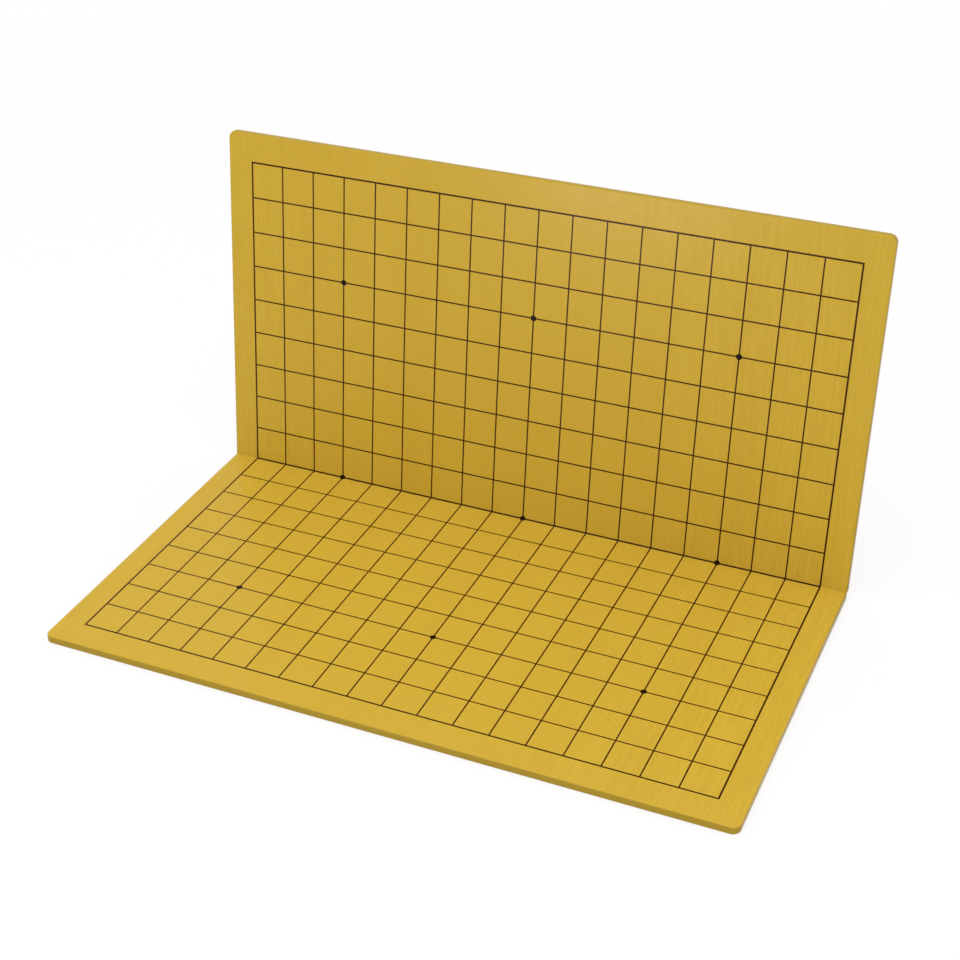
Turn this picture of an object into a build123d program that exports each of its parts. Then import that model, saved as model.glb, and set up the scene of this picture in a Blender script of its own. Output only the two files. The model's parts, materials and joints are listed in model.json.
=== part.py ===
from build123d import *
import os

# A folding go board: two fibreboard halves under one wood-look film. The film runs over
# the fold and is the hinge. The front half lies on the table, the rear half stands open.
# Millimetres, +Z up, X along the fold, origin at the centre of the front half's underside.

# Playing grid
cells_along_fold = 18
cells_per_half = 9
pitch_along_fold = 22.5
pitch_across_fold = 23.8
side_margin = 17.25         # outer line to board edge, at the two ends of the fold
end_margin = 19.2           # outer line to board edge, at each player's side
line_width = 0.9
border_line_width = 1.1
fold_line_width = 1.2       # half of it is printed on each half of the board
star_diameter = 3.9
cells_between_stars = 6
print_thickness = 0.05

# Layers of one half
core_thickness = 4.5
film_thickness = 0.3
back_sheet_thickness = 0.2
hinge_cloth_thickness = 0.25
hinge_leaf_width = 20.0

# Outer edges of one half
corner_radius = 5.0
top_edge_radius = 0.8
bottom_edge_radius = 0.8
edge_limit_share = 0.9      # largest share of the corner radius that a round-over takes
top_limit_share = 0.5       # largest shares of the thickness that the round-overs take
bottom_limit_share = 0.4

# Fold
open_angle = 96.4           # between the two playing faces, as the board stands
saw_cut = 0.5               # the core is sawn through from below, up to the film
fold_clearance = 0.2        # fold axis above the film, so that the closed faces just miss

# Overrun of every cutting shape past the face that it cuts
overrun = 1.0

# Sizes that follow
grid_width = cells_along_fold * pitch_along_fold
grid_length = cells_per_half * pitch_across_fold
board_width = grid_width + 2 * side_margin
half_length = grid_length + end_margin
star_columns = (-cells_between_stars, 0, cells_between_stars)   # in cells from the middle line
star_rows = (0, cells_between_stars)                            # in cells from the fold
film_underside = back_sheet_thickness + core_thickness
board_thickness = film_underside + film_thickness
top_radius = min(top_edge_radius, edge_limit_share * corner_radius, top_limit_share * board_thickness)
bottom_radius = min(bottom_edge_radius, edge_limit_share * corner_radius, bottom_limit_share * board_thickness)
crease_length = board_width - 2 * top_radius
sawn_face = -saw_cut / 2
leaf_underside = film_underside - hinge_cloth_thickness
fold_height = board_thickness + fold_clearance
fold_position = half_length / 2
lift_angle = 180 - open_angle


def block(x_size, y_low, y_high, z_low, z_high):
    # A box centred on X between two Y and two Z places.
    centre = Pos(0, (y_low + y_high) / 2, (z_low + z_high) / 2)
    return centre * Box(x_size, y_high - y_low, z_high - z_low)


def rounded_half(inset, fold_face, z_low, z_high):
    # One half as a solid: the fold face is square, the three outer sides are rounded over.
    # The whole outline lies inside the board's edge by the inset.
    width = board_width - 2 * inset
    length = half_length - inset + fold_face
    plan = Pos(0, fold_face) * Rectangle(width, length, align=(Align.CENTER, Align.MAX))
    outer_corners = plan.vertices().group_by(Axis.Y)[0]
    plan = fillet(outer_corners, corner_radius - inset)
    solid = Pos(0, 0, z_low) * extrude(plan, z_high - z_low)
    for side, radius in ((-1, top_radius), (0, bottom_radius)):
        rim = solid.edges().group_by(Axis.Z)[side]
        outer_rim = rim.sort_by(Axis.Y)[:-1]
        solid = fillet(outer_rim, radius - inset)
    return solid


def make_core():
    # Fibreboard panel with a shallow rebate along the fold for the hinge cloth.
    panel = rounded_half(film_thickness, sawn_face, back_sheet_thickness, film_underside)
    rebate = block(crease_length, -hinge_leaf_width, overrun, leaf_underside, film_underside + overrun)
    return panel - rebate


def make_film():
    # Film over the face and the three outer edges, trimmed level with the core's underside.
    outer = rounded_half(0, 0, 0, board_thickness)
    inner = rounded_half(film_thickness, overrun, back_sheet_thickness, film_underside)
    wide = board_width + 2 * overrun
    below = block(wide, -half_length - overrun, overrun, -overrun, back_sheet_thickness)
    saw = block(wide, sawn_face, overrun, -overrun, film_underside)
    return outer - inner - below - saw


def make_hinge_leaf():
    # Cloth strip between the core's rebate and the film.
    return block(crease_length, -hinge_leaf_width, 0, leaf_underside, film_underside)


def make_back_sheet():
    # Thin sheet on the underside, with the edge eased by the same round-over as the board.
    whole = rounded_half(0, sawn_face, 0, board_thickness)
    layer = block(board_width, -half_length, sawn_face, 0, back_sheet_thickness)
    return whole & layer


def line_half_width(index, first_width, last, last_width):
    # Half the printed width of one line; the first and last lines of a set have their own.
    if index == 0:
        return first_width / 2
    return (last_width if index == last else line_width) / 2


def column_edges(column):
    # Left and right edge of a line that runs across the fold.
    half_width = line_half_width(column, border_line_width, cells_along_fold, border_line_width)
    centre = column * pitch_along_fold - grid_width / 2
    return centre - half_width, centre + half_width


def row_edges(row):
    # Far and near edge of a line that runs along the fold, counted from the fold.
    half_width = line_half_width(row, fold_line_width, cells_per_half, border_line_width)
    centre = -row * pitch_across_fold
    return min(centre + half_width, 0), centre - half_width


def sheet_rectangle(x_low, x_high, y_low, y_high):
    centre = Pos((x_low + x_high) / 2, (y_low + y_high) / 2)
    return centre * Rectangle(x_high - x_low, y_high - y_low)


def make_star_points():
    # Three dots on the fold, which cuts them in half, and three further out.
    dots = []
    for row in star_rows:
        for column in star_columns:
            place = Pos(column * pitch_along_fold, -row * pitch_across_fold, board_thickness)
            dots.append(place * extrude(Circle(star_diameter / 2), print_thickness))
    low, high = board_thickness - overrun, board_thickness + overrun
    this_half = block(board_width, -half_length, 0, low, high)
    return [dot & this_half for dot in dots]


def make_grid_print(dots):
    # All lines of one half as one printed sheet with an opening for each cell.
    outline = sheet_rectangle(column_edges(0)[0], column_edges(cells_along_fold)[1], row_edges(cells_per_half)[1], 0)
    openings = []
    for column in range(cells_along_fold):
        for row in range(cells_per_half):
            left, right = column_edges(column)[1], column_edges(column + 1)[0]
            far, near = row_edges(row)[1], row_edges(row + 1)[0]
            openings.append(sheet_rectangle(left, right, near, far).wire())
    lines = Face(outline.wire(), openings)
    sheet = Pos(0, 0, board_thickness) * extrude(lines, print_thickness, dir=(0, 0, 1))
    return sheet - dots


def make_hinge_crease():
    # The end section of film and cloth, swept about the fold axis from half to half.
    middle = (leaf_underside + board_thickness) / 2
    section = Plane.XZ * Pos(0, middle) * Rectangle(crease_length, board_thickness - leaf_underside)
    fold_axis = Axis((0, 0, fold_height), (1, 0, 0))
    return revolve(section, fold_axis, lift_angle)


front_place = Pos(0, fold_position, 0)
at_fold = Pos(0, fold_position, fold_height)
rear_place = at_fold * Rot(lift_angle, 0, 0) * Pos(0, 0, -fold_height) * Rot(0, 0, 180)

star_points = make_star_points()
half_pieces = {
    "core": [make_core()],
    "playing_film": [make_film()],
    "hinge_leaf": [make_hinge_leaf()],
    "back_sheet": [make_back_sheet()],
    "star_points": star_points,
    "grid_print": [make_grid_print(star_points)],
}

os.makedirs("parts", exist_ok=True)
for half, place in (("front", front_place), ("rear", rear_place)):
    for piece, solids in half_pieces.items():
        placed = [place * solid for solid in solids]
        shape = placed[0] if len(placed) == 1 else Compound(children=placed)
        export_step(shape, f"parts/{half}_{piece}.step")
export_step(front_place * make_hinge_crease(), "parts/hinge_crease.step")
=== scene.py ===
import json
import math

import bmesh
import bpy
from mathutils import Matrix, Vector


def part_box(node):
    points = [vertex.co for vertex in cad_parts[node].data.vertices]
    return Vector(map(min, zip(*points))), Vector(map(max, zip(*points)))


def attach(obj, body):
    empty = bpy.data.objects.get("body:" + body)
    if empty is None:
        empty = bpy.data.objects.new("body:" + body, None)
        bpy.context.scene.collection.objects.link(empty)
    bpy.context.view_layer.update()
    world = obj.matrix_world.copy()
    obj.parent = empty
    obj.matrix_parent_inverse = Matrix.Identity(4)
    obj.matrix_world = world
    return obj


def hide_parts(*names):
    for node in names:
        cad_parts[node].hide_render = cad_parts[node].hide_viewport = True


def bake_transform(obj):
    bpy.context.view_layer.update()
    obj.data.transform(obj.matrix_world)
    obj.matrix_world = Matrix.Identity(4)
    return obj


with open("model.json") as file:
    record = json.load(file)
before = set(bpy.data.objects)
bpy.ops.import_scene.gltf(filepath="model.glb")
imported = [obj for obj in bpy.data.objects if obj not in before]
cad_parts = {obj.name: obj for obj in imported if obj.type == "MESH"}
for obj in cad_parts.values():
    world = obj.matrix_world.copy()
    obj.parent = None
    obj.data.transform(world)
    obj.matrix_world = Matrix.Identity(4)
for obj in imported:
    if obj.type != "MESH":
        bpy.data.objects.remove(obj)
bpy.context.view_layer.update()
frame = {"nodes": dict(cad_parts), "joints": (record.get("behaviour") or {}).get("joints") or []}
scene = bpy.context.scene
print("frame loaded,", len(frame["nodes"]), "nodes")

# sizes read from the frame; a half is built lying down, its fold edge on y = 0, its face on z = 0
fold = frame["joints"][0]
filmLow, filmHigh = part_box("front_playing_film")
coreLow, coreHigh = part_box("front_core")
leafLow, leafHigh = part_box("front_hinge_leaf")
gridLow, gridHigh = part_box("front_grid_print")
board = {
    "width": filmHigh.x - filmLow.x,
    "halfLength": filmHigh.y - filmLow.y,
    "thickness": filmHigh.z,
    "filmThickness": filmHigh.z - coreHigh.z,
    "clothThickness": leafHigh.z - leafLow.z,
    "backThickness": coreLow.z,
    "sawnGap": filmHigh.y - coreHigh.y,
    "creaseLength": leafHigh.x - leafLow.x,
    "foldAxis": Vector(fold["pos_m"]),
    "lift": math.radians(-fold["range_deg"][0]),
}
edgeRadius = (board["width"] - board["creaseLength"]) / 2
faceDrop = board["thickness"] - board["foldAxis"].z   # below zero: the face lies under the axis
foldGap = 0.00003   # sheet and print end just short of the fold, so that flat halves don't touch
foldPoint = Vector((0, board["foldAxis"].y, board["thickness"]))
layFront = Matrix.Translation(foldPoint)
standRear = (Matrix.Translation(board["foldAxis"]) @ Matrix.Rotation(board["lift"], 4, "X")
             @ Matrix.Translation((0, 0, faceDrop)) @ Matrix.Rotation(math.pi, 4, "Z"))
halves = {
    "front": {"body": "front_half", "place": layFront, "turn": 1},
    "rear": {"body": "rear_half", "place": standRear, "turn": -1},
}


# helpers for objects

def linkObject(name, mesh):
    piece = bpy.data.objects.new(name, mesh)
    scene.collection.objects.link(piece)
    return piece


def finishMesh(piece):
    # the evaluated piece as a plain mesh, with its modifiers taken off
    graph = bpy.context.evaluated_depsgraph_get()
    mesh = bpy.data.meshes.new_from_object(piece.evaluated_get(graph))
    piece.modifiers.clear()
    piece.data = mesh


def dress(piece, material):
    piece.data.materials.clear()
    piece.data.materials.append(material)


# helpers for node trees

def feed(tree, socket, value):
    # a socket is linked, anything else is typed in
    if isinstance(value, bpy.types.NodeSocket):
        tree.links.new(value, socket)
    else:
        socket.default_value = value


def addNode(tree, kind, inputs=None, **settings):
    node = tree.nodes.new(kind)
    for key, value in settings.items():
        setattr(node, key, value)
    for key, value in (inputs or {}).items():
        feed(tree, node.inputs[key], value)
    return node


def calc(tree, operation, *values):
    node = addNode(tree, "ShaderNodeMath", operation=operation)
    for socket, value in zip(node.inputs, values):
        feed(tree, socket, value)
    return node.outputs[0]


def joinXyz(tree, x, y, z):
    return addNode(tree, "ShaderNodeCombineXYZ", {"X": x, "Y": y, "Z": z}).outputs[0]


def splitXyz(tree, vector):
    return addNode(tree, "ShaderNodeSeparateXYZ", {"Vector": vector}).outputs


def newTree(name, kind, inputs, outputs):
    tree = bpy.data.node_groups.new(name, kind)
    for socketName, socketKind, value in inputs:
        socket = tree.interface.new_socket(name=socketName, in_out="INPUT", socket_type=socketKind)
        if value is not None:
            socket.default_value = value
    for socketName, socketKind in outputs:
        tree.interface.new_socket(name=socketName, in_out="OUTPUT", socket_type=socketKind)
    given = tree.nodes.new("NodeGroupInput").outputs
    return tree, given, tree.nodes.new("NodeGroupOutput").inputs


def growPiece(name, tree, values):
    # an empty mesh with the tree on it, its inputs set by identifier, turned into a plain mesh
    piece = linkObject(name, bpy.data.meshes.new(name))
    modifier = piece.modifiers.new(tree.name, "NODES")
    modifier.node_group = tree
    for item in tree.interface.items_tree:
        if item.item_type == "SOCKET" and item.in_out == "INPUT" and item.name in values:
            modifier[item.identifier] = values[item.name]
    finishMesh(piece)
    return piece


# shader groups that more than one material uses

def noiseOn(tree, vector, scale, detail, twist=0.0):
    node = addNode(tree, "ShaderNodeTexNoise", {
        "Vector": vector, "Scale": scale, "Detail": detail, "Distortion": twist})
    return node.outputs[0]


def stretchedNoise(tree, vector, width, length, detail, shift):
    # noise drawn out along V of the sheet; the shift picks another part of the pattern
    parts = splitXyz(tree, vector)
    across = calc(tree, "DIVIDE", parts["X"], width)
    along = calc(tree, "DIVIDE", parts["Y"], length)
    place = joinXyz(tree, calc(tree, "ADD", across, shift), along, shift)
    return noiseOn(tree, place, 1, detail)


def sharpen(tree, value, low, high):
    node = addNode(tree, "ShaderNodeMapRange", {"Value": value, "From Min": low, "From Max": high},
                   interpolation_type="SMOOTHSTEP")
    return node.outputs[0]


grainShape = {
    "streakDetail": 2, "streakShift": 3.7, "streakLimits": (0.3, 0.7),
    "bandDetail": 3, "bandShift": 11.3, "bandLimits": (0.3, 0.7),
    "bandStretch": 25,          # length of a band over its width
    "poreDetail": 1, "poreShift": 23.9, "poreLimits": (0.6, 0.72),
    "poreSlimness": 0.35,       # width of a pore over that of a streak
}


def makeGrainGroup():
    # straight grain along V: fine streaks, broad bands and short pores
    tree, given, result = newTree("straightGrain", "ShaderNodeTree", [
        ("Sheet", "NodeSocketVector", None),
        ("Streak Width", "NodeSocketFloat", 0.0012),
        ("Streak Length", "NodeSocketFloat", 0.04),
        ("Band Width", "NodeSocketFloat", 0.012),
        ("Pore Length", "NodeSocketFloat", 0.006),
    ], [("Streaks", "NodeSocketFloat"), ("Bands", "NodeSocketFloat"), ("Pores", "NodeSocketFloat")])
    bandLength = calc(tree, "MULTIPLY", given["Band Width"], grainShape["bandStretch"])
    poreWidth = calc(tree, "MULTIPLY", given["Streak Width"], grainShape["poreSlimness"])
    for name, key, width, length in (
            ("Streaks", "streak", given["Streak Width"], given["Streak Length"]),
            ("Bands", "band", given["Band Width"], bandLength),
            ("Pores", "pore", poreWidth, given["Pore Length"])):
        noise = stretchedNoise(tree, given["Sheet"], width, length,
                               grainShape[key + "Detail"], grainShape[key + "Shift"])
        tree.links.new(sharpen(tree, noise, *grainShape[key + "Limits"]), result[name])
    return tree


wearShape = {
    "patchDetail": 4, "patchLimits": (0.35, 0.7),
    "scuffDetail": 3, "scuffLimits": (0.4, 0.7),
}


def makeWearGroup():
    # rubbed patches and fine scuffs that change the gloss
    tree, given, result = newTree("handlingWear", "ShaderNodeTree", [
        ("Vector", "NodeSocketVector", None),
        ("Patch Size", "NodeSocketFloat", 0.08),
        ("Scuff Size", "NodeSocketFloat", 0.004),
    ], [("Rubbed", "NodeSocketFloat"), ("Scuffs", "NodeSocketFloat")])
    for name, key, size in (("Rubbed", "patch", "Patch Size"), ("Scuffs", "scuff", "Scuff Size")):
        scale = calc(tree, "DIVIDE", 1, given[size])
        noise = noiseOn(tree, given["Vector"], scale, wearShape[key + "Detail"])
        tree.links.new(sharpen(tree, noise, *wearShape[key + "Limits"]), result[name])
    return tree


fibreShape = {
    "feltDetail": 4, "feltTwist": 1.5,
    "speckDetail": 2, "speckTwist": 0.6,
    "speckScale": 0.45,         # the specks are coarser than the felt
    "darkLimits": (0.62, 0.72), "paleLimits": (0.38, 0.28),
}


def makeFibreGroup():
    # pressed wood fibres: fine felted texture with darker and paler specks
    tree, given, result = newTree("pressedFibres", "ShaderNodeTree", [
        ("Vector", "NodeSocketVector", None),
        ("Fibre Size", "NodeSocketFloat", 0.0008),
    ], [("Felt", "NodeSocketFloat"), ("Dark Specks", "NodeSocketFloat"),
        ("Pale Specks", "NodeSocketFloat")])
    scale = calc(tree, "DIVIDE", 1, given["Fibre Size"])
    felt = noiseOn(tree, given["Vector"], scale, fibreShape["feltDetail"], fibreShape["feltTwist"])
    coarse = calc(tree, "MULTIPLY", scale, fibreShape["speckScale"])
    specks = noiseOn(tree, given["Vector"], coarse, fibreShape["speckDetail"], fibreShape["speckTwist"])
    tree.links.new(felt, result["Felt"])
    tree.links.new(sharpen(tree, specks, *fibreShape["darkLimits"]), result["Dark Specks"])
    tree.links.new(sharpen(tree, specks, *fibreShape["paleLimits"]), result["Pale Specks"])
    return tree


grainGroup = makeGrainGroup()
wearGroup = makeWearGroup()
fibreGroup = makeFibreGroup()
print("shader groups made")


# materials

def srgb(red, green, blue):
    # colours are written as a picture shows them, 0 to 255
    linear = []
    for value in (red / 255, green / 255, blue / 255):
        linear.append(value / 12.92 if value <= 0.04045 else ((value + 0.055) / 1.055) ** 2.4)
    return (*linear, 1)


def newMaterial(name):
    material = bpy.data.materials.new(name)
    material.use_nodes = True
    tree = material.node_tree
    return material, tree, tree.nodes["Principled BSDF"]


def objectPlace(tree):
    return addNode(tree, "ShaderNodeTexCoord").outputs["Object"]


def placeGroup(tree, group, inputs):
    node = addNode(tree, "ShaderNodeGroup", node_tree=group)
    for key, value in inputs.items():
        feed(tree, node.inputs[key], value)
    return node.outputs


def blendColour(tree, factor, first, second):
    node = addNode(tree, "ShaderNodeMix", data_type="RGBA")
    feed(tree, node.inputs["Factor"], factor)
    colours = [socket for socket in node.inputs if socket.type == "RGBA"]
    feed(tree, colours[0], first)
    feed(tree, colours[1], second)
    return [socket for socket in node.outputs if socket.type == "RGBA"][0]


def sumUp(tree, base, terms):
    # base plus share times mask for each term
    total = base
    for mask, share in terms:
        total = calc(tree, "MULTIPLY_ADD", mask, share, total)
    return total


def addBump(tree, shader, height, depth, strength):
    bump = addNode(tree, "ShaderNodeBump", {"Height": height, "Distance": depth, "Strength": strength})
    tree.links.new(bump.outputs[0], shader.inputs["Normal"])


sheetMap = "sheet"      # UV map: the unrolled sheet in metres, grain along V
runName = "wrapRun"     # attribute: length run along the sheet past the flat of the face
filmLook = {
    "pale": srgb(211, 177, 62),
    "deep": srgb(202, 165, 54),
    "pore": srgb(184, 145, 46),
    "wrapped": srgb(175, 144, 46),      # the film on the edges takes this darker colour
    "wrapRun": (0.0003, 0.0008),        # and darkens over this length past the face
    "calmPlace": -0.03,                 # the grain is calmest here along the fold
    "clearFrom": (0.1, 0.25),           # and shows more towards the two ends
    "patchSize": 0.07,
    "patchDetail": 1,
    "streakWidth": 0.0012,
    "streakLength": 0.03,
    "bandWidth": 0.028,
    "poreLength": 0.009,
    "tone": 0.4,
    "streakTone": 0.2,
    "clearTone": 0.42,
    "bandTone": 0.2,
    "poreTone": 0.06,
    "clearPoreTone": 0.2,
    "specular": 0.08,
    "roughness": 0.23,
    "streakRoughness": 0.04,
    "rubbedRoughness": -0.05,
    "scuffRoughness": 0.04,
    "streakHeight": 0.4,
    "poreHeight": -0.6,
    "grainDepth": 0.00003,
    "grainStrength": 0.6,
}


def makeFilm():
    look = filmLook
    material, tree, shader = newMaterial("woodLookFilm")
    sheet = addNode(tree, "ShaderNodeUVMap", uv_map=sheetMap).outputs[0]
    grain = placeGroup(tree, grainGroup, {
        "Sheet": sheet, "Streak Width": look["streakWidth"], "Streak Length": look["streakLength"],
        "Band Width": look["bandWidth"], "Pore Length": look["poreLength"]})
    wear = placeGroup(tree, wearGroup, {"Vector": sheet})
    patches = noiseOn(tree, sheet, 1 / look["patchSize"], look["patchDetail"])
    fromCalm = calc(tree, "SUBTRACT", splitXyz(tree, sheet)["X"], look["calmPlace"])
    reach = sumUp(tree, calc(tree, "ABSOLUTE", fromCalm), [(patches, look["patchSize"])])
    clear = sharpen(tree, reach, *look["clearFrom"])
    streaks = calc(tree, "SUBTRACT", grain["Streaks"], 0.5)
    clearStreaks = calc(tree, "MULTIPLY", streaks, clear)
    tone = sumUp(tree, look["tone"], [(streaks, look["streakTone"]), (clearStreaks, look["clearTone"]),
                                      (grain["Bands"], look["bandTone"])])
    colour = blendColour(tree, tone, look["pale"], look["deep"])
    poreTone = sumUp(tree, look["poreTone"], [(clear, look["clearPoreTone"])])
    colour = blendColour(tree, calc(tree, "MULTIPLY", grain["Pores"], poreTone), colour, look["pore"])
    run = addNode(tree, "ShaderNodeAttribute", attribute_name=runName).outputs["Fac"]
    colour = blendColour(tree, sharpen(tree, run, *look["wrapRun"]), colour, look["wrapped"])
    tree.links.new(colour, shader.inputs["Base Color"])
    shader.inputs["Specular IOR Level"].default_value = look["specular"]
    roughness = sumUp(tree, look["roughness"], [
        (grain["Streaks"], look["streakRoughness"]), (wear["Rubbed"], look["rubbedRoughness"]),
        (wear["Scuffs"], look["scuffRoughness"])])
    tree.links.new(roughness, shader.inputs["Roughness"])
    height = sumUp(tree, 0.0, [(grain["Streaks"], look["streakHeight"]),
                               (grain["Pores"], look["poreHeight"])])
    addBump(tree, shader, height, look["grainDepth"], look["grainStrength"])
    return material


lineInkColour = {"dark": srgb(54, 24, 4), "worn": srgb(88, 50, 12)}     # thin lines print leaner
dotInkColour = {"dark": srgb(18, 6, 2), "worn": srgb(46, 24, 7)}
inkLook = {
    "patchSize": 0.02,
    "scuffSize": 0.0012,
    "fibreSize": 0.0006,
    "rubbedTone": 0.25,
    "feltTone": 0.35,
    "specular": 0.08,
    "roughness": 0.25,
    "scuffRoughness": 0.08,
    "feltRoughness": 0.05,
    "feltDepth": 0.00002,
    "feltStrength": 0.4,
}


def makeInk(name, colours):
    look = inkLook
    material, tree, shader = newMaterial(name)
    place = objectPlace(tree)
    wear = placeGroup(tree, wearGroup, {
        "Vector": place, "Patch Size": look["patchSize"], "Scuff Size": look["scuffSize"]})
    fibres = placeGroup(tree, fibreGroup, {"Vector": place, "Fibre Size": look["fibreSize"]})
    thin = sumUp(tree, 0.0, [(wear["Rubbed"], look["rubbedTone"]), (fibres["Felt"], look["feltTone"])])
    colour = blendColour(tree, thin, colours["dark"], colours["worn"])
    tree.links.new(colour, shader.inputs["Base Color"])
    shader.inputs["Specular IOR Level"].default_value = look["specular"]
    roughness = sumUp(tree, look["roughness"], [
        (wear["Scuffs"], look["scuffRoughness"]), (fibres["Felt"], look["feltRoughness"])])
    tree.links.new(roughness, shader.inputs["Roughness"])
    addBump(tree, shader, fibres["Felt"], look["feltDepth"], look["feltStrength"])
    return material


coreLook = {
    "body": srgb(164, 124, 82),
    "dark": srgb(112, 78, 46),
    "pale": srgb(196, 160, 118),
    "fibreSize": 0.0006,
    "feltTone": 0.6,
    "darkTone": 0.45,
    "paleTone": 0.6,
    "roughness": 0.85,
    "feltRoughness": 0.1,
    "feltDepth": 0.0002,
    "feltStrength": 0.7,
}


def makeFibreboard():
    look = coreLook
    material, tree, shader = newMaterial("sawnFibreboard")
    fibres = placeGroup(tree, fibreGroup, {
        "Vector": objectPlace(tree), "Fibre Size": look["fibreSize"]})
    felt = calc(tree, "MULTIPLY", fibres["Felt"], look["feltTone"])
    colour = blendColour(tree, felt, look["pale"], look["body"])
    darkSpecks = calc(tree, "MULTIPLY", fibres["Dark Specks"], look["darkTone"])
    colour = blendColour(tree, darkSpecks, colour, look["dark"])
    paleSpecks = calc(tree, "MULTIPLY", fibres["Pale Specks"], look["paleTone"])
    colour = blendColour(tree, paleSpecks, colour, look["pale"])
    tree.links.new(colour, shader.inputs["Base Color"])
    roughness = sumUp(tree, look["roughness"], [(fibres["Felt"], look["feltRoughness"])])
    tree.links.new(roughness, shader.inputs["Roughness"])
    addBump(tree, shader, fibres["Felt"], look["feltDepth"], look["feltStrength"])
    return material


backLook = {
    "body": srgb(190, 152, 92),
    "deep": srgb(172, 132, 74),
    "speck": srgb(140, 102, 56),
    "streakWidth": 0.0022,
    "streakLength": 0.05,
    "bandWidth": 0.02,
    "poreLength": 0.008,
    "fibreSize": 0.0012,
    "streakTone": 0.45,
    "bandTone": 0.35,
    "feltTone": 0.2,
    "speckTone": 0.35,
    "roughness": 0.62,
    "feltRoughness": 0.12,
    "feltDepth": 0.00006,
    "feltStrength": 0.5,
}


def makeBackPaper():
    look = backLook
    material, tree, shader = newMaterial("sealedBackPaper")
    place = objectPlace(tree)
    parts = splitXyz(tree, place)
    # one length along the lying half and up the standing one, so that the grain runs over both
    sheet = joinXyz(tree, parts["X"], calc(tree, "ADD", parts["Y"], parts["Z"]), 0.0)
    grain = placeGroup(tree, grainGroup, {
        "Sheet": sheet, "Streak Width": look["streakWidth"], "Streak Length": look["streakLength"],
        "Band Width": look["bandWidth"], "Pore Length": look["poreLength"]})
    fibres = placeGroup(tree, fibreGroup, {"Vector": place, "Fibre Size": look["fibreSize"]})
    tone = sumUp(tree, 0.0, [(grain["Streaks"], look["streakTone"]), (grain["Bands"], look["bandTone"]),
                             (fibres["Felt"], look["feltTone"])])
    colour = blendColour(tree, tone, look["body"], look["deep"])
    specks = calc(tree, "MULTIPLY", fibres["Dark Specks"], look["speckTone"])
    tree.links.new(blendColour(tree, specks, colour, look["speck"]), shader.inputs["Base Color"])
    roughness = sumUp(tree, look["roughness"], [(fibres["Felt"], look["feltRoughness"])])
    tree.links.new(roughness, shader.inputs["Roughness"])
    addBump(tree, shader, fibres["Felt"], look["feltDepth"], look["feltStrength"])
    return material


clothLook = {
    "warp": srgb(190, 170, 130),
    "weft": srgb(160, 138, 98),
    "thread": 0.0006,
    "crossing": (-0.6, 0.6),    # how softly one thread dives under the next
    "fibreSize": 0.0004,
    "weaveTone": 0.8,
    "feltTone": 0.2,
    "roughness": 0.9,
    "feltRoughness": 0.08,
    "weaveDepth": 0.0001,
    "weaveStrength": 0.8,
}


def makeHingeCloth():
    look = clothLook
    material, tree, shader = newMaterial("wovenHingeCloth")
    place = objectPlace(tree)
    parts = splitXyz(tree, place)
    turn = math.pi / look["thread"]
    warp = calc(tree, "SINE", calc(tree, "MULTIPLY", parts["X"], turn))
    along = calc(tree, "ADD", parts["Y"], parts["Z"])
    weft = calc(tree, "SINE", calc(tree, "MULTIPLY", along, turn))
    weave = sharpen(tree, calc(tree, "MULTIPLY", warp, weft), *look["crossing"])
    fibres = placeGroup(tree, fibreGroup, {"Vector": place, "Fibre Size": look["fibreSize"]})
    tone = sumUp(tree, 0.0, [(weave, look["weaveTone"]), (fibres["Felt"], look["feltTone"])])
    tree.links.new(blendColour(tree, tone, look["warp"], look["weft"]), shader.inputs["Base Color"])
    roughness = sumUp(tree, look["roughness"], [(fibres["Felt"], look["feltRoughness"])])
    tree.links.new(roughness, shader.inputs["Roughness"])
    addBump(tree, shader, weave, look["weaveDepth"], look["weaveStrength"])
    return material


film = makeFilm()
lineInk = makeInk("printedLines", lineInkColour)
dotInk = makeInk("printedDots", dotInkColour)
fibreboard = makeFibreboard()
backPaper = makeBackPaper()
hingeCloth = makeHingeCloth()
print("materials made")


# playing film: one pressed sheet over the face and the three outer edges of each half

filmShape = {
    "cornerRadius": 0.005,
    "cornerSteps": 10,
    "roundSteps": 5,
}


def filmProfile():
    # inset from the edge, height from the face down and length run along the sheet
    steps = filmShape["roundSteps"]
    rows = []
    for step in range(steps + 1):
        turn = math.pi / 2 * step / steps
        inset = edgeRadius * (1 - math.sin(turn))
        rows.append((inset, -edgeRadius * (1 - math.cos(turn)), edgeRadius * turn))
    sideEnd = edgeRadius * math.pi / 2 + board["thickness"] - 2 * edgeRadius
    lastTurn = math.asin(1 - board["backThickness"] / edgeRadius)   # trimmed level with the core
    for step in range(steps + 1):
        turn = lastTurn * step / steps
        height = -board["thickness"] + edgeRadius * (1 - math.sin(turn))
        rows.append((edgeRadius * (1 - math.cos(turn)), height, sideEnd + edgeRadius * turn))
    return rows


def filmPath():
    # centre and outward direction of each point round the three outer sides
    radius, steps = filmShape["cornerRadius"], filmShape["cornerSteps"]
    side, end = board["width"] / 2 - radius, -board["halfLength"] + radius
    path = [(-side, 0, -1, 0)]
    for sign in (-1, 1):
        for step in range(steps + 1):
            turn = math.pi / 2 * (step if sign < 0 else steps - step) / steps
            path.append((sign * side, end, sign * math.cos(turn), -math.sin(turn)))
    path.append((side, 0, 1, 0))
    return path


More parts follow.
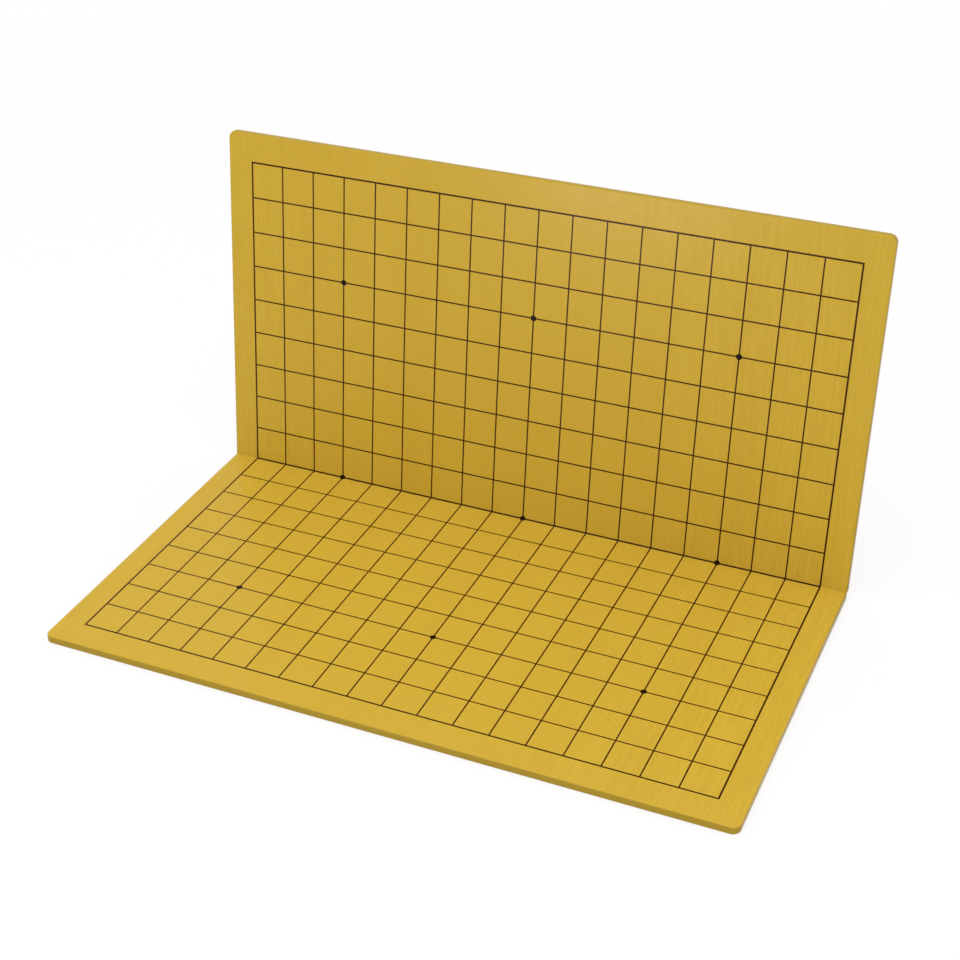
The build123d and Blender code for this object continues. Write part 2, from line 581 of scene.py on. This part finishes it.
def makeFilmHalf(name, half):
    shape = bmesh.new()
    sheet = shape.loops.layers.uv.new(sheetMap)
    wrapRun = shape.verts.layers.float.new(runName)
    unrolled = {}
    rings = []
    radius = filmShape["cornerRadius"]
    path = filmPath()
    for inset, height, run in filmProfile():
        ring = []
        for k, (centreX, centreY, outX, outY) in enumerate(path):
            cutBack = 0
            if k in (0, len(path) - 1):
                # at the fold; lower down the sheet is sawn back with the core
                cutBack = board["sawnGap"] if height < -board["filmThickness"] else foldGap
            reach = radius - inset
            vert = shape.verts.new((centreX + outX * reach, centreY + outY * reach - cutBack, height))
            vert[wrapRun] = run
            flat = radius - edgeRadius + run
            unrolled[vert] = (centreX + outX * flat, centreY + outY * flat - cutBack)
            ring.append(vert)
        rings.append(ring)
    face = shape.faces.new(rings[0])
    for upper, lower in zip(rings, rings[1:]):
        for k in range(len(path) - 1):
            quad = shape.faces.new((upper[k], lower[k], lower[k + 1], upper[k + 1]))
            quad.smooth = True
    bmesh.ops.recalc_face_normals(shape, faces=shape.faces)
    face.normal_update()
    if face.normal.z < 0:
        bmesh.ops.reverse_faces(shape, faces=shape.faces)
    for polygon in shape.faces:
        for loop in polygon.loops:
            x, y = unrolled[loop.vert]
            loop[sheet].uv = (half["turn"] * x, half["turn"] * y)
    mesh = bpy.data.meshes.new(name)
    shape.to_mesh(mesh)
    shape.free()
    mesh.transform(half["place"])
    piece = linkObject(name, mesh)
    wall = piece.modifiers.new("thickness", "SOLIDIFY")
    wall.thickness = board["filmThickness"]
    wall.offset = -1
    finishMesh(piece)
    dress(piece, film)
    return piece


for side, half in halves.items():
    piece = makeFilmHalf(side + "FilmSheet", half)
    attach(piece, half["body"])
    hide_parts(side + "_playing_film")
print("playing film laid on both halves")


# printed lines: a grid mesh whose rows of points are moved to the two edges of every line

gridPrint = {
    "Columns": 18,
    "Rows": 9,
    "Line Width": 0.0009,
    "Border Width": 0.0011,
    "Fold Line Width": 0.00105,     # the rest of the fold line is printed on the crease
    "Fold Gap": foldGap,
}
gridPrint["Column Pitch"] = (gridHigh.x - gridLow.x - gridPrint["Border Width"]) / gridPrint["Columns"]
gridPrint["Row Pitch"] = (gridHigh.y - gridLow.y - gridPrint["Border Width"] / 2) / gridPrint["Rows"]
gridPrint["Thickness"] = gridHigh.z - gridLow.z
weldDistance = 0.000001


def thicken(tree, flat, thickness, material):
    # a flat print given its thickness and an underside
    raised = addNode(tree, "GeometryNodeExtrudeMesh", {
        "Mesh": flat, "Offset": joinXyz(tree, 0.0, 0.0, thickness), "Offset Scale": 1.0,
        "Individual": False}, mode="FACES")
    underside = addNode(tree, "GeometryNodeFlipFaces", {"Mesh": flat})
    both = tree.nodes.new("GeometryNodeJoinGeometry")
    tree.links.new(raised.outputs["Mesh"], both.inputs[0])
    tree.links.new(underside.outputs[0], both.inputs[0])
    closed = addNode(tree, "GeometryNodeMergeByDistance", {
        "Geometry": both.outputs[0], "Distance": weldDistance})
    real = addNode(tree, "GeometryNodeRealizeInstances", {"Geometry": closed.outputs[0]})
    painted = addNode(tree, "GeometryNodeSetMaterial", {
        "Geometry": real.outputs[0], "Material": material})
    return painted.outputs[0]


def makeGridTree():
    tree, given, result = newTree("printedGrid", "GeometryNodeTree", [
        ("Columns", "NodeSocketInt", 18), ("Rows", "NodeSocketInt", 9),
        ("Column Pitch", "NodeSocketFloat", 0.0225), ("Row Pitch", "NodeSocketFloat", 0.0238),
        ("Line Width", "NodeSocketFloat", 0.0009), ("Border Width", "NodeSocketFloat", 0.0011),
        ("Fold Line Width", "NodeSocketFloat", 0.00105), ("Fold Gap", "NodeSocketFloat", 0.00003),
        ("Thickness", "NodeSocketFloat", 0.00005), ("Ink", "NodeSocketMaterial", None),
    ], [("Geometry", "NodeSocketGeometry")])
    countX = calc(tree, "MULTIPLY_ADD", given["Columns"], 2, 2)
    countY = calc(tree, "MULTIPLY_ADD", given["Rows"], 2, 2)
    spanX, spanY = calc(tree, "SUBTRACT", countX, 1), calc(tree, "SUBTRACT", countY, 1)
    start = addNode(tree, "GeometryNodeMeshGrid", {
        "Size X": spanX, "Size Y": spanY, "Vertices X": countX, "Vertices Y": countY})
    spot = splitXyz(tree, tree.nodes.new("GeometryNodeInputPosition").outputs[0])
    stepX = calc(tree, "MULTIPLY_ADD", spanX, 0.5, spot["X"])                       # 0 at the left
    stepY = calc(tree, "SUBTRACT", calc(tree, "MULTIPLY", spanY, 0.5), spot["Y"])   # 0 at the fold
    # cells lie between two lines both ways: their place in the mesh is odd in X and in Y
    oddX = calc(tree, "MODULO", calc(tree, "FLOOR", stepX), 2)
    oddY = calc(tree, "MODULO", calc(tree, "FLOOR", stepY), 2)
    opening = calc(tree, "GREATER_THAN", calc(tree, "MULTIPLY", oddX, oddY), 0.5)
    marked = addNode(tree, "GeometryNodeStoreNamedAttribute",
                     {"Geometry": start.outputs[0], "Name": "opening", "Value": opening},
                     data_type="BOOLEAN", domain="FACE")

    def lineOf(step):
        # number of the line, and which of its two edges
        line = calc(tree, "FLOOR", calc(tree, "MULTIPLY", calc(tree, "ROUND", step), 0.5))
        return line, calc(tree, "MULTIPLY_ADD", line, -2, calc(tree, "ROUND", step))

    def widthOf(line, firstWidth, last):
        isFirst = calc(tree, "LESS_THAN", line, 0.5)
        isLast = calc(tree, "GREATER_THAN", line, calc(tree, "SUBTRACT", last, 0.5))
        extraFirst = calc(tree, "SUBTRACT", firstWidth, given["Line Width"])
        extraLast = calc(tree, "SUBTRACT", given["Border Width"], given["Line Width"])
        wide = calc(tree, "MULTIPLY_ADD", isFirst, extraFirst, given["Line Width"])
        return calc(tree, "MULTIPLY_ADD", isLast, extraLast, wide)

    column, farSide = lineOf(stepX)
    width = widthOf(column, given["Border Width"], given["Columns"])
    fromMiddle = calc(tree, "MULTIPLY_ADD", given["Columns"], -0.5, column)
    x = calc(tree, "MULTIPLY_ADD", calc(tree, "SUBTRACT", farSide, 0.5), width,
             calc(tree, "MULTIPLY", fromMiddle, given["Column Pitch"]))
    row, nearSide = lineOf(stepY)
    width = widthOf(row, given["Fold Line Width"], given["Rows"])
    y = calc(tree, "MULTIPLY_ADD", calc(tree, "SUBTRACT", 0.5, nearSide), width,
             calc(tree, "MULTIPLY", calc(tree, "MULTIPLY", row, given["Row Pitch"]), -1))
    foldEdge = calc(tree, "MULTIPLY", given["Fold Gap"], -1)
    y = calc(tree, "MINIMUM", y, foldEdge)      # the fold line stops at the fold
    moved = addNode(tree, "GeometryNodeSetPosition", {
        "Geometry": marked.outputs[0], "Position": joinXyz(tree, x, y, 0.0)})
    isOpening = addNode(tree, "GeometryNodeInputNamedAttribute", {"Name": "opening"},
                        data_type="BOOLEAN")
    lines = addNode(tree, "GeometryNodeDeleteGeometry", {
        "Geometry": moved.outputs[0], "Selection": isOpening.outputs[0]}, domain="FACE")
    tree.links.new(thicken(tree, lines.outputs[0], given["Thickness"], given["Ink"]), result[0])
    return tree


gridTree = makeGridTree()
for side, half in halves.items():
    piece = growPiece(side + "GridLines", gridTree, {**gridPrint, "Ink": lineInk})
    piece.data.transform(half["place"])
    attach(piece, half["body"])
    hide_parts(side + "_grid_print")
print("grid lines printed")


# star points: three whole dots and, on the fold, three half dots on each half

starPoints = {
    "Diameter": 0.0039,
    "Corners": 32,
    "Dots In Row": 3,
    "Fold Gap": foldGap,
    "cellsBetween": 6,
    "inkBuild": 1.2,        # over the thickness of the lines that the dots sit on
}
starPoints["Column Step"] = starPoints["cellsBetween"] * gridPrint["Column Pitch"]
starPoints["Row Step"] = starPoints["cellsBetween"] * gridPrint["Row Pitch"]
starPoints["Thickness"] = starPoints["inkBuild"] * gridPrint["Thickness"]


def makeStarTree():
    tree, given, result = newTree("starPoints", "GeometryNodeTree", [
        ("Diameter", "NodeSocketFloat", 0.0039), ("Corners", "NodeSocketInt", 32),
        ("Dots In Row", "NodeSocketInt", 3),
        ("Column Step", "NodeSocketFloat", 0.135), ("Row Step", "NodeSocketFloat", 0.1428),
        ("Fold Gap", "NodeSocketFloat", 0.00003), ("Thickness", "NodeSocketFloat", 0.00006),
        ("Ink", "NodeSocketMaterial", None),
    ], [("Geometry", "NodeSocketGeometry")])
    radius = calc(tree, "MULTIPLY", given["Diameter"], 0.5)
    whole = addNode(tree, "GeometryNodeMeshCircle", {"Vertices": given["Corners"], "Radius": radius},
                    fill_type="NGON")
    arc = addNode(tree, "GeometryNodeCurveArc", {
        "Resolution": calc(tree, "MULTIPLY_ADD", given["Corners"], 0.5, 1), "Radius": radius,
        "Start Angle": math.pi, "Sweep Angle": math.pi})
    looped = addNode(tree, "GeometryNodeSetSplineCyclic", {"Geometry": arc.outputs[0], "Cyclic": True})
    cut = addNode(tree, "GeometryNodeFillCurve", {"Curve": looped.outputs[0]}, mode="NGONS")
    rows = tree.nodes.new("GeometryNodeJoinGeometry")
    stepsToFirst = calc(tree, "MULTIPLY_ADD", given["Dots In Row"], -0.5, 0.5)
    firstPlace = calc(tree, "MULTIPLY", given["Column Step"], stepsToFirst)
    farRow = calc(tree, "MULTIPLY", given["Row Step"], -1)
    foldRow = calc(tree, "MULTIPLY", given["Fold Gap"], -1)
    for dot, y in ((whole, farRow), (cut, foldRow)):
        points = addNode(tree, "GeometryNodeMeshLine", {
            "Count": given["Dots In Row"], "Start Location": joinXyz(tree, firstPlace, y, 0.0),
            "Offset": joinXyz(tree, given["Column Step"], 0.0, 0.0)})
        dots = addNode(tree, "GeometryNodeInstanceOnPoints", {
            "Points": points.outputs[0], "Instance": dot.outputs[0]})
        tree.links.new(dots.outputs[0], rows.inputs[0])
    flat = addNode(tree, "GeometryNodeRealizeInstances", {"Geometry": rows.outputs[0]})
    tree.links.new(thicken(tree, flat.outputs[0], given["Thickness"], given["Ink"]), result[0])
    return tree


starTree = makeStarTree()
for side, half in halves.items():
    piece = growPiece(side + "StarDots", starTree, {**starPoints, "Ink": dotInk})
    piece.data.transform(half["place"])
    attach(piece, half["body"])
    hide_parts(side + "_star_points")
print("star points printed")


# hinge crease: film and cloth bent round the fold axis, with the fold line printed inside

crease = {
    "steps": 12,
    "lipShares": (0.45, 0.75, 0.92),    # places on the rounded edge that the ends dip with
    "leastThickness": 0.0001,
    "materials": (film, lineInk, hingeCloth),
}


def creaseStations():
    # place along the fold, inner radius and outer radius
    inner = -faceDrop
    outer = inner + board["filmThickness"] + board["clothThickness"]
    half = board["creaseLength"] / 2
    stations = [((gridHigh.x - gridLow.x) / 2, inner, outer), (half, inner, outer)]
    for share in crease["lipShares"]:
        dipped = inner + edgeRadius * (1 - math.sqrt(1 - share ** 2))
        thickest = max(outer, dipped + crease["leastThickness"])
        stations.append((half + share * edgeRadius, dipped, thickest))
    return [(-x, low, high) for x, low, high in reversed(stations)] + stations


def makeCrease():
    stations = creaseStations()
    printed = len(stations) // 2 - 1    # the strip between the two outer lines
    shape = bmesh.new()
    sheet = shape.loops.layers.uv.new(sheetMap)
    inside, outside = [], []
    for step in range(crease["steps"] + 1):
        turn = board["lift"] * step / crease["steps"]
        spoke = Vector((0, math.sin(turn), -math.cos(turn)))
        for rows, which in ((inside, 1), (outside, 2)):
            row = []
            for station in stations:
                middle = board["foldAxis"] + Vector((station[0], 0, 0))
                row.append(shape.verts.new(middle + station[which] * spoke))
            rows.append(row)

    def strip(rows, step, k):
        near, far = rows[step], rows[step + 1]
        quad = shape.faces.new((near[k], near[k + 1], far[k + 1], far[k]))
        quad.smooth = True
        return quad

    for step in range(crease["steps"]):
        for k in range(len(stations) - 1):
            inked = strip(inside, step, k)
            inked.material_index = crease["materials"].index(lineInk if k == printed else film)
            strip(outside, step, k).material_index = crease["materials"].index(hingeCloth)
        for k in (0, len(stations) - 1):
            shape.faces.new((inside[step][k], outside[step][k],
                             outside[step + 1][k], inside[step + 1][k]))
    for inner, outer in ((inside[0], outside[0]), (inside[-1], outside[-1])):
        for k in range(len(stations) - 1):
            shape.faces.new((inner[k], inner[k + 1], outer[k + 1], outer[k]))
    bmesh.ops.recalc_face_normals(shape, faces=shape.faces)
    for polygon in shape.faces:
        for loop in polygon.loops:
            loop[sheet].uv = (loop.vert.co.x, 0)
    mesh = bpy.data.meshes.new("creaseStrip")
    shape.to_mesh(mesh)
    shape.free()
    for material in crease["materials"]:
        mesh.materials.append(material)
    return linkObject("creaseStrip", mesh)


piece = makeCrease()
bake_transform(piece)
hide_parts("hinge_crease")
print("hinge crease bent")


# finish of the pieces that keep their own shape

for side in halves:
    dress(frame["nodes"][side + "_core"], fibreboard)
    dress(frame["nodes"][side + "_back_sheet"], backPaper)
    dress(frame["nodes"][side + "_hinge_leaf"], hingeCloth)
print("cores, backs and hinge cloth finished")


# floor, light and camera

stageSet = {
    "floorSize": 30,
    "floorColour": srgb(240, 240, 240),
    "seenColour": srgb(250, 250, 250),
    "shadowShare": 0.22,        # how much of the floor's own shading the camera sees near the board
    "shadowReach": (0.5, 1.6),  # and where it fades into the white set
    "skyStrength": 0.81,
    "lamps": {
        "topLamp": {
            "place": (0.0, -0.3, 2.0), "size": (1.6, 1.6), "power": 13.6, "glossOnly": False},
        # low in front: the upper part of the standing half mirrors it as a soft sheen
        "sheenLamp": {
            "place": (-0.243, -0.86, 0.09), "size": (0.26, 0.1), "power": 2.3, "glossOnly": True},
    },
}


def seenRays(tree):
    # camera, glossy and transmission rays see the plain white set
    path = tree.nodes.new("ShaderNodeLightPath").outputs
    seen = calc(tree, "MAXIMUM", path["Is Camera Ray"], path["Is Glossy Ray"])
    return calc(tree, "MAXIMUM", seen, path["Is Transmission Ray"])


def mixShaders(tree, share, first, second):
    node = addNode(tree, "ShaderNodeMixShader", {"Fac": share})
    tree.links.new(first.outputs[0], node.inputs[1])
    tree.links.new(second.outputs[0], node.inputs[2])
    return node


def makeFloor():
    mesh = bpy.data.meshes.new("floor")
    shape = bmesh.new()
    bmesh.ops.create_grid(shape, x_segments=1, y_segments=1, size=stageSet["floorSize"] / 2)
    shape.to_mesh(mesh)
    shape.free()
    floor = linkObject("floor", mesh)
    material, tree, shader = newMaterial("paleFloor")
    tree.nodes.remove(shader)
    plain = addNode(tree, "ShaderNodeBsdfDiffuse", {"Color": stageSet["floorColour"]})
    white = addNode(tree, "ShaderNodeBsdfDiffuse", {"Color": stageSet["seenColour"]})
    glow = addNode(tree, "ShaderNodeEmission", {"Strength": 1.0})
    measure = addNode(tree, "ShaderNodeVectorMath", {0: objectPlace(tree)}, operation="LENGTH")
    near, far = stageSet["shadowReach"]
    nearness = sharpen(tree, measure.outputs["Value"], far, near)
    shaded = mixShaders(tree, calc(tree, "MULTIPLY", nearness, stageSet["shadowShare"]), glow, white)
    look = mixShaders(tree, seenRays(tree), plain, shaded)
    tree.links.new(look.outputs[0], tree.nodes["Material Output"].inputs["Surface"])
    mesh.materials.append(material)


def makeSky():
    world = bpy.data.worlds.new("softStudio")
    scene.world = world
    world.use_nodes = True
    tree = world.node_tree
    background = tree.nodes["Background"]
    background.inputs["Color"].default_value = (1, 1, 1, 1)
    rest = 1 - stageSet["skyStrength"]      # seen rays get the full strength of 1
    strength = calc(tree, "MULTIPLY_ADD", seenRays(tree), rest, stageSet["skyStrength"])
    tree.links.new(strength, background.inputs["Strength"])


def makeLamp(name, values):
    lamp = bpy.data.lights.new(name, "AREA")
    lamp.shape = "ELLIPSE"
    lamp.size, lamp.size_y = values["size"]
    lamp.energy = values["power"]
    holder = bpy.data.objects.new(name, lamp)
    holder.visible_camera = False
    holder.visible_diffuse = not values["glossOnly"]
    holder.location = values["place"]
    holder.rotation_euler = (foldPoint - holder.location).to_track_quat("-Z", "Y").to_euler()
    scene.collection.objects.link(holder)


makeFloor()
makeSky()
for lampName, values in stageSet["lamps"].items():
    makeLamp(lampName, values)

cameraSet = {
    "azimuth": 23.862,
    "elevation": 31.846,
    "roll": -0.551,
    "distance": 1.21499,
    "lens": 68.265,
    "sensor": 36,
    "aim": (-0.03099, 0, 0.0232),   # from the middle of the fold
}


def makeCamera():
    azimuth = math.radians(cameraSet["azimuth"])
    elevation = math.radians(cameraSet["elevation"])
    level = math.cos(elevation)
    back = Vector((math.sin(azimuth) * level, -math.cos(azimuth) * level, math.sin(elevation)))
    lens = bpy.data.cameras.new("photoView")
    lens.lens = cameraSet["lens"]
    lens.sensor_width = cameraSet["sensor"]
    viewer = bpy.data.objects.new("photoView", lens)
    roll = Matrix.Rotation(math.radians(cameraSet["roll"]), 3, "Z")
    viewer.rotation_euler = ((-back).to_track_quat("-Z", "Y").to_matrix() @ roll).to_euler()
    viewer.location = foldPoint + Vector(cameraSet["aim"]) + back * cameraSet["distance"]
    scene.collection.objects.link(viewer)
    scene.camera = viewer


makeCamera()
scene.view_settings.view_transform = "Standard"
print("set lit, camera placed")
